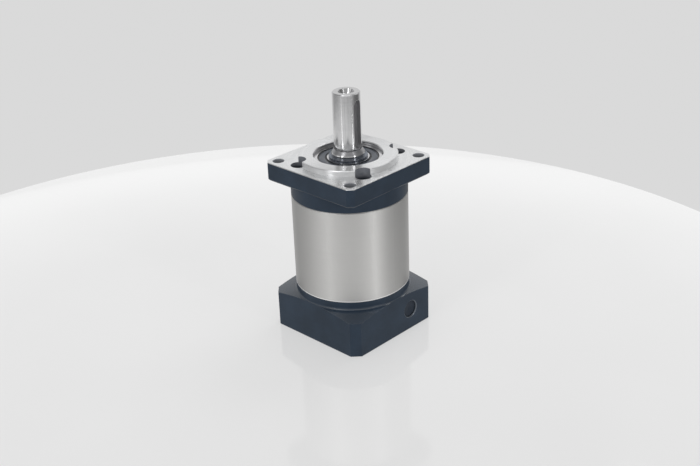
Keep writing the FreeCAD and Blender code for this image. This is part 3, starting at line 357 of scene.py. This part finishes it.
def turned_steel(name, grey, rough, frequency, aniso, warm=(1, 1, 1), stain=0.12, bump=0.15,
                 rim=None, contrast=1.0, chamfer=None):
    """grey and rough are (low, high); rim sets a painted shade at grazing views; chamfer is the z
    range of a painted highlight.
    """
    dark, light = grey
    shader = Shader(name)
    z, radius = shader.xyz[2], shader.radius
    lines = shader.ring_noise(width=1.5, along=(z + radius * 0.7) * frequency)
    broad = shader.line_noise((z + radius) * 0.35)
    cloud = shader.noise(scale=0.07, detail=3.0)
    spots = shader.noise(scale=0.9, detail=4.0, rough=0.7)
    colour = lines.ramp(over=(0.25, 0.75)).mix(scaled(warm, dark), scaled(warm, light))
    banding = broad.ramp(over=(0.35, 0.65), to=(0.0, 0.3 * contrast))
    colour = banding.mix(colour, scaled(warm, dark * 0.92))
    stained = cloud.ramp(over=(0.45, 0.8), to=(0.0, stain))
    colour = stained.mix(colour, scaled(warm, dark * 0.7))
    if rim is not None:
        # painted shade: the colour darkens where the eye meets the metal at a slant
        facing = shader.value("ShaderNodeLayerWeight", {"Blend": 0.5}, output="Facing")
        colour = facing.ramp(over=(0.22, 0.66)).mix(colour, scaled(warm, dark * rim))
    # painted highlight: the edges are coloured paler
    edge = shader.edge(radius=0.25)
    colour = (edge * 0.5).mix(colour, scaled(warm, min(1.0, light * 1.2)))
    metallic = 1.0
    if chamfer is not None:
        # painted highlight: a pale, less metallic band over the chamfer's z range
        chamfer_highlight = (z > chamfer[0]) * (z < chamfer[1])
        colour = chamfer_highlight.mix(colour, (0.93, 0.93, 0.93))
        metallic = metallic - chamfer_highlight * 0.5
    roughness = lines.ramp(over=(0.2, 0.8), to=rough) + spots.ramp(over=(0.6, 0.8), to=(0.0, 0.05))
    normal = shader.bump(lines, strength=bump, depth=0.008, rounding=0.1)
    return shader.surface(colour, metallic, roughness, normal, aniso=aniso)


def shaft_material():
    shader = Shader("ground_shaft_steel")
    x, y, z = shader.xyz
    radius = shader.radius
    side_lines = shader.ring_noise(width=1.2, along=z * 8.0)
    end_lines = shader.line_noise(radius * 6.0)
    top = shader.normal_z() > 0.8
    lines = top.mix_value(side_lines, end_lines)
    cloud = shader.noise(scale=0.18, detail=3.0)
    steel = lines.ramp(over=(0.25, 0.75)).mix((0.61, 0.61, 0.615), (0.78, 0.78, 0.785))
    steel = cloud.ramp(over=(0.5, 0.8), to=(0.0, 0.3)).mix(steel, (0.46, 0.46, 0.47))
    # the ground surface shows faint long streaks, the end face is duller
    streak = shader.line_noise(shader.angle * 5.0, detail=4.0, rough=0.75)
    streaked = streak.ramp(over=(0.42, 0.66)) * (0.32 - top * 0.32)
    steel = streaked.mix(steel, (0.40, 0.40, 0.41))
    steel = (top * 0.6).mix(steel, (0.47, 0.47, 0.475))
    # the milled keyway is coloured darker and duller: its walls lie inside the shaft's skin
    keyway = (radius < 6.93) * ((z > 6.0) * (z < 32.4))
    milling = shader.noise(scale=1.3, detail=3.0, rough=0.6, at=shader.combine(x, y, z * 4.0))
    milled = milling.ramp(over=(0.3, 0.7)).mix((0.30, 0.30, 0.31), (0.44, 0.44, 0.45))
    colour = keyway.mix(steel, milled)
    # painted highlight: the edges are coloured paler
    colour = (shader.edge(radius=0.2) * 0.6).mix(colour, (0.85, 0.85, 0.86))
    rough = keyway.mix_value(lines.ramp(over=(0.2, 0.8), to=(0.09, 0.17)), on=0.42)
    # lip round the top end
    lip = (z > 34.45) * (radius > 6.4) * (shader.normal_z() < 0.9)
    colour = (lip * 0.5).mix(colour, (0.42, 0.42, 0.43))
    rough = lip.mix_value(rough, on=0.26)
    # cone below the keyway, and the seat below that
    cone = (z > 4.0) * (z < 5.72)
    colour = (cone * (radius > 6.99)).mix(colour, (0.36, 0.36, 0.37))
    rough = cone.mix_value(rough, on=0.32)
    rough = (z < 3.48).mix_value(rough, on=0.13)
    height = keyway.mix_value(lines, milling)
    normal = shader.bump(height, strength=0.15, depth=0.01, rounding=0.1)
    metallic = keyway.mix_value(off=1.0, on=0.6)
    return shader.surface(colour, metallic, rough, normal, aniso=0.6)


def polished(name, base, rough):
    shader = Shader(name)
    lines = shader.line_noise((shader.radius + shader.xyz[2]) * 8.0)
    smear = shader.noise(scale=0.5, detail=3.0)
    colour = lines.ramp(over=(0.3, 0.7)).mix(scaled(base, 0.93), base)
    colour = smear.ramp(over=(0.55, 0.8), to=(0.0, 0.3)).mix(colour, scaled(base, 0.7))
    roughness = lines.ramp(over=(0.2, 0.8), to=(rough * 0.8, rough * 1.3))
    normal = shader.bump(lines, strength=0.08, depth=0.006, rounding=0.08)
    return shader.surface(colour, 1.0, roughness, normal)


def rubber(name, base, rough, specular=0.5, groove_shade_radii=()):
    """Each pair of groove radii is (inner, outer) of a ring darkened with painted shade."""
    shader = Shader(name)
    fine = shader.noise(scale=9.0)
    dust = shader.noise(scale=1.1, detail=4.0, rough=0.7)
    colour = dust.ramp(over=(0.5, 0.8), to=(0.0, 0.5)).mix(base, scaled(base, 2.2))
    for inner, outer in groove_shade_radii:
        middle, half = (inner + outer) / 2, (outer - inner) / 2
        offset = abs(shader.radius - middle)
        # painted shade inside the seal's grooves
        groove_shade = offset.ramp(over=(half * 0.7, half * 1.1), to=(0.9, 0.0))
        colour = groove_shade.mix(colour, scaled(base, 0.12))
    roughness = fine.ramp(over=(0.3, 0.7), to=(rough - 0.08, rough + 0.08))
    normal = shader.bump(fine, strength=0.2, depth=0.01, rounding=0.08)
    return shader.surface(colour, 0.0, roughness, normal, specular=specular)


def oxide(name, base, rough):
    shader = Shader(name)
    fine = shader.noise(scale=4.0, detail=3.0)
    cloud = shader.noise(scale=0.5, detail=3.0)
    colour = cloud.ramp(over=(0.35, 0.7)).mix(base, scaled(base, 1.9))
    # lighter edges: partly worn oxide, partly a painted highlight
    colour = (shader.edge(radius=0.12) * 0.6).mix(colour, (0.22, 0.22, 0.23))
    roughness = fine.ramp(over=(0.3, 0.7), to=(rough - 0.06, rough + 0.1))
    normal = shader.bump(fine, strength=0.15, depth=0.01, rounding=0.06)
    return shader.surface(colour, 0.75, roughness, normal)


def cast_metal(name, dark, light, rough, pores):
    """rough is (low, high); pores is how strongly the pores darken."""
    shader = Shader(name)
    fine = shader.noise(scale=6.0, detail=3.0, rough=0.65)
    cloud = shader.noise(scale=0.35, detail=3.0)
    colour = cloud.ramp(over=(0.3, 0.7)).mix(dark, light)
    colour = fine.ramp(over=(0.62, 0.72), to=(0.0, pores)).mix(colour, scaled(dark, 0.35))
    roughness = fine.ramp(over=(0.3, 0.7), to=rough)
    normal = shader.bump(fine, strength=0.25, depth=0.012, rounding=0.08)
    return shader.surface(colour, 1.0, roughness, normal)


MATERIALS = {
    "flange": flange_material(),
    "adapter": adapter_material(),
    # the ring's chamfer band carries a painted highlight, and rim a painted shade at slants
    "ring": turned_steel("satin_ring_steel", grey=(0.645, 0.675), rough=(0.51, 0.55),
                         frequency=7.0, aniso=0.6, warm=(1.0, 0.993, 0.975), stain=0.05,
                         bump=0.05, rim=0.66, contrast=0.3, chamfer=(-66.4, -65.52)),
    "shaft": shaft_material(),
    "hub": turned_steel("turned_hub_steel", grey=(0.46, 0.58), rough=(0.24, 0.36),
                        frequency=7.0, aniso=0.4),
    "gear": turned_steel("hobbed_gear_steel", grey=(0.34, 0.44), rough=(0.26, 0.40),
                         frequency=5.0, aniso=0.2, warm=(1, 0.985, 0.96)),
    "collar": turned_steel("collar_steel", grey=(0.42, 0.52), rough=(0.28, 0.40),
                           frequency=6.0, aniso=0.4),
    "race": polished("polished_race_steel", base=(0.70, 0.70, 0.71), rough=0.12),
    "ball": polished("ball_steel", base=(0.80, 0.80, 0.81), rough=0.06),
    "seal": rubber("nitrile_seal", base=(0.046, 0.057, 0.077), rough=0.22, specular=0.42,
                   groove_shade_radii=((14.7, 15.6), (11.0, 11.75))),
    "plug": rubber("plug_nylon", base=(0.013, 0.022, 0.037), rough=0.50, specular=0.28),
    "o_ring": rubber("o_ring_rubber", base=(0.014, 0.014, 0.015), rough=0.42),
    "oxide": oxide("black_oxide_screw", base=(0.016, 0.016, 0.018), rough=0.34),
    "clip": oxide("phosphated_spring_steel", base=(0.108, 0.121, 0.146), rough=0.24),
    "brass": cast_metal("cage_brass", dark=(0.58, 0.40, 0.16), light=(0.72, 0.52, 0.24),
                        rough=(0.22, 0.34), pores=0.15),
    "bronze": cast_metal("sintered_bronze", dark=(0.42, 0.26, 0.11), light=(0.56, 0.36, 0.17),
                         rough=(0.34, 0.48), pores=0.7),
}

# node name pattern, material; the first match counts and the rest are gear steel
MATERIAL_RULES = [
    ("output_flange", "flange"), ("motor_adapter", "adapter"), ("ring_gear", "ring"),
    ("output_shaft", "shaft"), ("input_hub", "hub"), ("clamp_collar", "collar"),
    ("*_balls", "ball"), ("*_race", "race"), ("*_pins", "race"), ("bearing_spacer", "race"),
    ("*_cage", "brass"), ("*_seals", "seal"), ("*o_ring", "o_ring"),
    ("*bush*", "bronze"), ("*washers*", "bronze"), ("*thrust_ring", "bronze"),
    ("access_plug", "plug"), ("*circlip", "clip"), ("*screws", "oxide"), ("*screw", "oxide"),
    ("*", "gear"),
]

for name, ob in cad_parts.items():
    kind = next(kind for pattern, kind in MATERIAL_RULES if fnmatchcase(name, pattern))
    ob.data.materials.clear()
    ob.data.materials.append(MATERIALS[kind])


# =====================================================================
# mesh helpers
# =====================================================================
def point(x, y, z):
    return Vector((x * MM, y * MM, z * MM))


def polar_point(radius, angle, z):
    return point(radius * math.cos(angle), radius * math.sin(angle), z)


def bridge(bm, rows, reverse=False):
    """Join each closed row of vertices to the next with quads."""
    for row, following in zip(rows, rows[1:]):
        for i in range(len(row)):
            j = (i + 1) % len(row)
            quad = (row[i], following[i], following[j], row[j])
            bm.faces.new((quad[0], *quad[:0:-1]) if reverse else quad)


def make_object(name, bm, material, smooth_deg):
    """Smooth-shaded object whose edges steeper than smooth_deg stay sharp."""
    bmesh.ops.recalc_face_normals(bm, faces=bm.faces)
    mesh = bpy.data.meshes.new(name)
    for face in bm.faces:
        face.smooth = True
    for edge in bm.edges:
        if len(edge.link_faces) == 2:
            edge.smooth = edge.calc_face_angle(0.0) < math.radians(smooth_deg)
    bm.to_mesh(mesh)
    bm.free()
    ob = bpy.data.objects.new(name, mesh)
    scene.collection.objects.link(ob)
    mesh.materials.append(material)
    return ob


def add_piece(name, bm, material, smooth_deg, body, replaced=None):
    ob = make_object(name, bm, MATERIALS[material], smooth_deg)
    if replaced:
        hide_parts(replaced)
    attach(ob, body)


# =====================================================================
# socket head cap screws
# =====================================================================
SCREW_STEPS = 96
HEAD_R = 3.5
HEAD_HEIGHT = 4.0
KNURL_DEPTH = 0.10
HEAD_NECK_R = HEAD_R - KNURL_DEPTH  # plain bands above and below the knurl
SOCKET_FLATS = 3.0  # across flats
SOCKET_FLOOR = HEAD_HEIGHT - 2.0
CORE_R, THREAD_R = 1.62, 1.98
SCREW_PITCH = 0.7


def socket_hexagon(angle, _):
    sector = math.pi / 3
    return (SOCKET_FLATS / 2) / math.cos((angle % sector) - sector / 2)


def knurl(_, k):
    return HEAD_R - (0.0 if k % 4 in (0, 1) else KNURL_DEPTH)


# radius (a number or a function of angle and step), height above the seat
HEAD_ROWS = [
    (0.25, SOCKET_FLOOR - 0.35),  # shallow drill cone in the socket's floor
    (SOCKET_FLATS / 2 * 0.985, SOCKET_FLOOR),
    (socket_hexagon, SOCKET_FLOOR),
    (socket_hexagon, HEAD_HEIGHT - 0.25),
    (SOCKET_FLATS / 2 + 0.30, HEAD_HEIGHT),  # chamfered mouth
    (HEAD_R - 0.42, HEAD_HEIGHT),
    (HEAD_R - 0.14, HEAD_HEIGHT - 0.12),
    (HEAD_NECK_R, HEAD_HEIGHT - 0.34),
    (knurl, HEAD_HEIGHT - 0.46),
    (knurl, 0.55),
    (HEAD_NECK_R, 0.42),
    (HEAD_NECK_R, 0.12),
    (HEAD_R - 0.22, 0.0),
    (THREAD_R + 0.18, 0.0),
    (THREAD_R, -0.18),
]


def cap_screw(bm, place, length, grip):
    """Screw with its seat at z = 0, head up and thread down, moved by place.

    grip is the length of full thread above the tip.
    """
    def ring(radius, z):
        row = []
        for k in range(SCREW_STEPS):
            angle = 2 * math.pi * k / SCREW_STEPS
            r = radius(angle, k) if callable(radius) else radius
            row.append(bm.verts.new(place @ polar_point(r, angle, z)))
        return row

    start = length - grip - 2 * SCREW_PITCH
    end = length - 0.45
    head = [ring(radius, z) for radius, z in HEAD_ROWS]
    head.append(ring(THREAD_R, -start))
    bridge(bm, head, reverse=True)
    bm.faces.new(list(reversed(head[0])))

    # the thread: a skin whose radius follows a helix, six rows to a turn
    count = int((end - start) / (SCREW_PITCH / 6.0))
    thread = [head[-1]]
    for i in range(1, count + 1):
        depth = start + (end - start) * i / count
        run_out = min(1.0, (depth - start) / (1.2 * SCREW_PITCH))
        lead_in = min(1.0, (end - depth) / (0.8 * SCREW_PITCH) + 0.25)
        fade = run_out * lead_in

        def thread_radius(angle, _):
            phase = (depth / SCREW_PITCH + angle / (2 * math.pi)) % 1.0
            crest = 1.0 - abs(2 * phase - 1.0)
            crest = min(1.0, max(0.0, (crest - 0.12) / 0.72))  # flat crests and roots
            return THREAD_R - (THREAD_R - CORE_R) * (1.0 - crest) * fade

        thread.append(ring(thread_radius, -depth))
    tip = ring(CORE_R - 0.12, -length)
    bridge(bm, thread + [tip], reverse=True)
    bm.faces.new(tip)


def screw_piece(name, replaced, places, length, grip, body):
    bm = bmesh.new()
    for place in places:
        cap_screw(bm, place, length, grip)
    add_piece(name, bm, "oxide", 30.0, body, replaced)


def turned_place(x, y, z, turn_deg, tilt=None):
    """A place at x, y, z, turned about the screw's own axis, then tilted."""
    turn = Matrix.Rotation(math.radians(turn_deg), 4, "Z")
    if tilt is not None:
        turn = tilt @ turn
    return Matrix.Translation(point(x, y, z)) @ turn


FLANGE_SEAT_Z, ADAPTER_SEAT_Z = -8.2, -74.0
SCREW_TURNS = [11.0, 37.0, -14.0, 24.0]  # degrees, one for each screw axis
HEAD_DOWN = Matrix.Rotation(math.pi, 4, "X")
HEAD_TO_X = Matrix.Rotation(math.pi / 2, 4, "Y")

up_places = [turned_place(x, y, FLANGE_SEAT_Z, turn)
             for (x, y), turn in zip(SCREW_AXES, SCREW_TURNS)]
down_places = [turned_place(x, y, ADAPTER_SEAT_Z, -turn, HEAD_DOWN)
               for (x, y), turn in zip(SCREW_AXES, SCREW_TURNS)]
clamp_place = turned_place(6.0, CLAMP_Y, CLAMP_Z, 8, HEAD_TO_X)
screw_piece("flange_cap_screws", "flange_screws", up_places,
            length=20.0, grip=14.0, body="housing")
screw_piece("adapter_cap_screws", "adapter_screws", down_places,
            length=16.0, grip=11.0, body="housing")
screw_piece("clamp_cap_screw", "clamp_screw", [clamp_place],
            length=16.0, grip=9.0, body="input")


# =====================================================================
# bearing seals: a moulded lip, a stiffened face and a bead at the rim
# =====================================================================
SEAL_STEPS = 160
SEAL_RECESS = 0.12  # below the bearing's end face

# bearing, inner and outer radius, top and bottom z of the bearing, depth of the seal
SEALS = [
    ("front", 10.65, 15.5, 1.0, -9.0, 0.95),
    ("rear", 10.3, 13.4, -10.2, -17.2, 0.80),
    ("input", 12.2, 16.2, -62.5, -71.5, 0.90),
]


def seal_section(inner, outer, depth):
    """Closed outline of (radius, distance in from the seal's face)."""
    lip = inner + 0.28
    rim = outer - 0.02
    return [
        (lip, depth - 0.10), (lip, 0.42), (lip + 0.10, 0.30),
        (lip + 0.34, 0.30), (lip + 0.46, 0.46), (lip + 0.62, 0.46),
        (lip + 0.78, 0.14), (lip + 0.92, 0.08),
        (lip + (rim - lip) * 0.62, 0.08), (rim - 0.86, 0.12),
        (rim - 0.74, 0.20), (rim - 0.52, 0.20), (rim - 0.42, 0.10),
        (rim - 0.22, 0.16), (rim - 0.10, 0.34), (rim, 0.50),
        (rim, depth), (lip + 0.30, depth),
    ]


def lathe(bm, outline, steps):
    """Turn a closed outline of (radius, z) about Z."""
    rings = []
    for k in range(steps):
        angle = 2 * math.pi * k / steps
        rings.append([bm.verts.new(polar_point(radius, angle, z)) for radius, z in outline])
    bridge(bm, rings + [rings[0]])


for bearing, inner, outer, top, bottom, depth in SEALS:
    bm = bmesh.new()
    section = seal_section(inner, outer, depth)
    for face_z, side in ((top - SEAL_RECESS, 1), (bottom + SEAL_RECESS, -1)):
        lathe(bm, [(radius, face_z - side * inset) for radius, inset in section], SEAL_STEPS)
    add_piece(f"{bearing}_bearing_lip_seals", bm, "seal", 32.0, "housing",
              f"{bearing}_bearing_seals")


# =====================================================================
# cut threads in the tapped holes: a thin helical rib on each hole's wall
# =====================================================================
TAPPED_R = 2.1
TAPPED_PITCH = 0.8
RIB_HEIGHT = 0.22
RIB_STEPS = 40  # per turn
RIB_FADE = RIB_STEPS * 0.6  # steps over which the rib rises at its ends


def thread_rib(bm, centre_x, centre_y, z_from, z_to):
    place = Matrix.Translation(point(centre_x, centre_y, 0))
    count = int((z_to - z_from) / TAPPED_PITCH * RIB_STEPS)
    foot_r = TAPPED_R - 0.004
    foot, crest = TAPPED_PITCH * 0.40, TAPPED_PITCH * 0.07  # half widths
    rows = []
    for i in range(count + 1):
        turns = i / RIB_STEPS
        angle = 2 * math.pi * turns
        z = z_from + TAPPED_PITCH * turns
        fade = min(1.0, i / RIB_FADE, (count - i) / RIB_FADE)
        crest_r = TAPPED_R - RIB_HEIGHT * max(0.02, fade)
        section = [(foot_r, z - foot), (crest_r, z - crest), (crest_r, z + crest),
                   (foot_r, z + foot)]
        rows.append([bm.verts.new(place @ polar_point(r, angle, rib_z)) for r, rib_z in section])
    bridge(bm, rows)
    bm.faces.new(rows[0])
    bm.faces.new(list(reversed(rows[-1])))


bm = bmesh.new()
thread_rib(bm, 0, 0, z_from=19.3, z_to=30.6)
add_piece("shaft_end_thread_rib", bm, "shaft", 40.0, "output")
bm = bmesh.new()
for x, y in MOUNT_AXES:
    thread_rib(bm, x, y, z_from=-91.1, z_to=-81.6)
add_piece("motor_hole_thread_ribs", bm, "adapter", 40.0, "housing")


# =====================================================================
# stage, in metres: round pale table, soft surroundings, lights, camera
# =====================================================================
TABLE_R = 0.3064
TABLE_X, TABLE_Y, TABLE_Z = -0.0017, -0.0549, -92.03 * MM
TABLE_STEPS = 160
# radius, height from the table's top; from the middle out and down the rim
TABLE_ROWS = [
    (0.0001, 0.0), (TABLE_R * 0.5, 0.0), (TABLE_R - 0.004, 0.0), (TABLE_R - 0.0012, -0.0012),
    (TABLE_R, -0.004), (TABLE_R, -0.03), (TABLE_R - 0.01, -0.032),
]


def table_material():
    shader = Shader("table_white")
    cloud = shader.noise(scale=0.01)
    colour = cloud.ramp(over=(0.3, 0.7)).mix((0.27, 0.27, 0.27), (0.29, 0.29, 0.29))
    rough = shader.noise(scale=2.0).ramp(over=(0.3, 0.7), to=(0.07, 0.10))
    # translucent white acrylic glows a little
    acrylic = shader.principled(colour, 0.0, rough, specular=0.42, glow=0.51)
    # a camera under the table looks through it, so the motor side can be seen
    below = shader.value("ShaderNodeNewGeometry", output="Backfacing")
    seen = shader.value("ShaderNodeLightPath", output="Is Camera Ray")
    clear = shader.value("ShaderNodeBsdfTransparent")
    mixed = shader.value("ShaderNodeMixShader", {0: below * seen, 1: acrylic, 2: clear})
    return shader.finish(mixed)


def table():
    bm = bmesh.new()
    angles = [2 * math.pi * k / TABLE_STEPS for k in range(TABLE_STEPS)]
    rings = [[bm.verts.new((TABLE_X + radius * math.cos(angle),
                            TABLE_Y + radius * math.sin(angle), TABLE_Z + z))
              for angle in angles] for radius, z in TABLE_ROWS]
    bridge(bm, rings, reverse=True)
    bm.faces.new(list(reversed(rings[0])))
    make_object("table", bm, table_material(), 35.0)


def studio_world(behind_low, behind_high, front, left, right, top):
    """Soft surroundings: brightness by direction; front is the camera's side."""
    world = bpy.data.worlds.new("studio")
    scene.world = world
    graph = Graph(world, "ShaderNodeOutputWorld")
    x, y, z = graph.split(graph.value("ShaderNodeTexCoord", output="Generated"))
    view_x, view_y = math.sin(CAMERA_AZIMUTH), -math.cos(CAMERA_AZIMUTH)
    toward = x * view_x + y * view_y
    rightward = y * view_x - x * view_y

    def smooth(value, over, to):
        return value.ramp(over=over, to=to, interpolation="SMOOTHSTEP")

    side = smooth(rightward, over=(-0.6, 0.6), to=(left, right))
    behind = smooth(z, over=(-0.08, 0.12), to=(behind_low, behind_high))
    level = smooth(toward, over=(-0.85, -0.25), to=(behind, side))
    level = smooth(toward, over=(0.2, 0.9), to=(level, front))
    level = smooth(z, over=(0.42, 0.85), to=(level, top))
    inputs = {"Strength": level, "Color": (1.0, 1.0, 1.0)}
    graph.finish(graph.value("ShaderNodeBackground", inputs))


# Two tall strips stand at the sides; weaker panels hang above and behind.
# name, azimuth from +X and elevation in degrees, distance, width, height, radiance, target z
LIGHTS = [
    ("strip_left", -89.0, 0.0, 1.2, 0.09, 1.05, 4.0, 0.44),
    ("strip_right", -1.0, 0.0, 1.2, 0.12, 1.05, 6.7, 0.44),
    ("high_left", -90.0, 48.0, 1.25, 0.24, 0.90, 2.6, -0.03),
    ("wide_left", -118.0, 22.0, 1.35, 0.50, 0.70, 0.6, -0.03),
    ("back_right", 92.0, 52.0, 1.35, 0.60, 0.60, 3.0, -0.03),
    ("panel_top", -30.0, 85.0, 1.4, 1.0, 1.0, 0.95, -0.03),
]


def softbox(name, azimuth, elevation, distance, width, height, radiance, target_z):
    """A rectangular light that faces a target on the Z axis."""
    light = bpy.data.lights.new(name, "AREA")
    light.shape = "RECTANGLE"
    light.size = width
    light.size_y = height
    light.energy = radiance * math.pi * width * height
    ob = bpy.data.objects.new(name, light)
    azimuth, elevation = math.radians(azimuth), math.radians(elevation)
    direction = Vector((math.cos(azimuth) * math.cos(elevation),
                        math.sin(azimuth) * math.cos(elevation), math.sin(elevation)))
    target = Vector((0, 0, target_z))
    ob.location = target + distance * direction
    ob.rotation_euler = (target - ob.location).to_track_quat("-Z", "Y").to_euler()
    scene.collection.objects.link(ob)


CAMERA_LENS = 57.301817143  # mm, on a 36 mm sensor
CAMERA_DISTANCE = 573.783  # mm, from the aim point on the axis
CAMERA_AIM_Z = -40.0  # mm
CAMERA_ELEVATION = math.radians(25.271)
CAMERA_ROLL = math.radians(2.146)
CAMERA_TURN_Y, CAMERA_TURN_X = -0.00098815116, 0.0023918464  # radians, fine aim


def camera():
    azimuth, elevation = CAMERA_AZIMUTH, CAMERA_ELEVATION
    back = Vector((math.sin(azimuth) * math.cos(elevation),
                   -math.cos(azimuth) * math.cos(elevation), math.sin(elevation)))
    right = Vector((math.cos(azimuth), math.sin(azimuth), 0.0))
    world_to_camera = (Matrix.Rotation(CAMERA_TURN_Y, 3, "Y")
                       @ Matrix.Rotation(CAMERA_TURN_X, 3, "X")
                       @ Matrix.Rotation(CAMERA_ROLL, 3, "Z")
                       @ Matrix((right, back.cross(right), back)))
    data = bpy.data.cameras.new("camera")
    data.sensor_width = 36.0
    data.lens = CAMERA_LENS
    data.clip_start = 0.01
    data.clip_end = 20.0
    ob = bpy.data.objects.new("camera", data)
    location = (back * CAMERA_DISTANCE + Vector((0, 0, CAMERA_AIM_Z))) * MM
    ob.matrix_world = Matrix.Translation(location) @ world_to_camera.transposed().to_4x4()
    scene.collection.objects.link(ob)
    scene.camera = ob


table()
studio_world(behind_low=0.70, behind_high=0.86, front=0.53, left=0.36, right=0.18, top=0.40)
for light_row in LIGHTS:
    softbox(*light_row)
camera()
scene.view_settings.view_transform = "Standard"

bpy.context.view_layer.update()
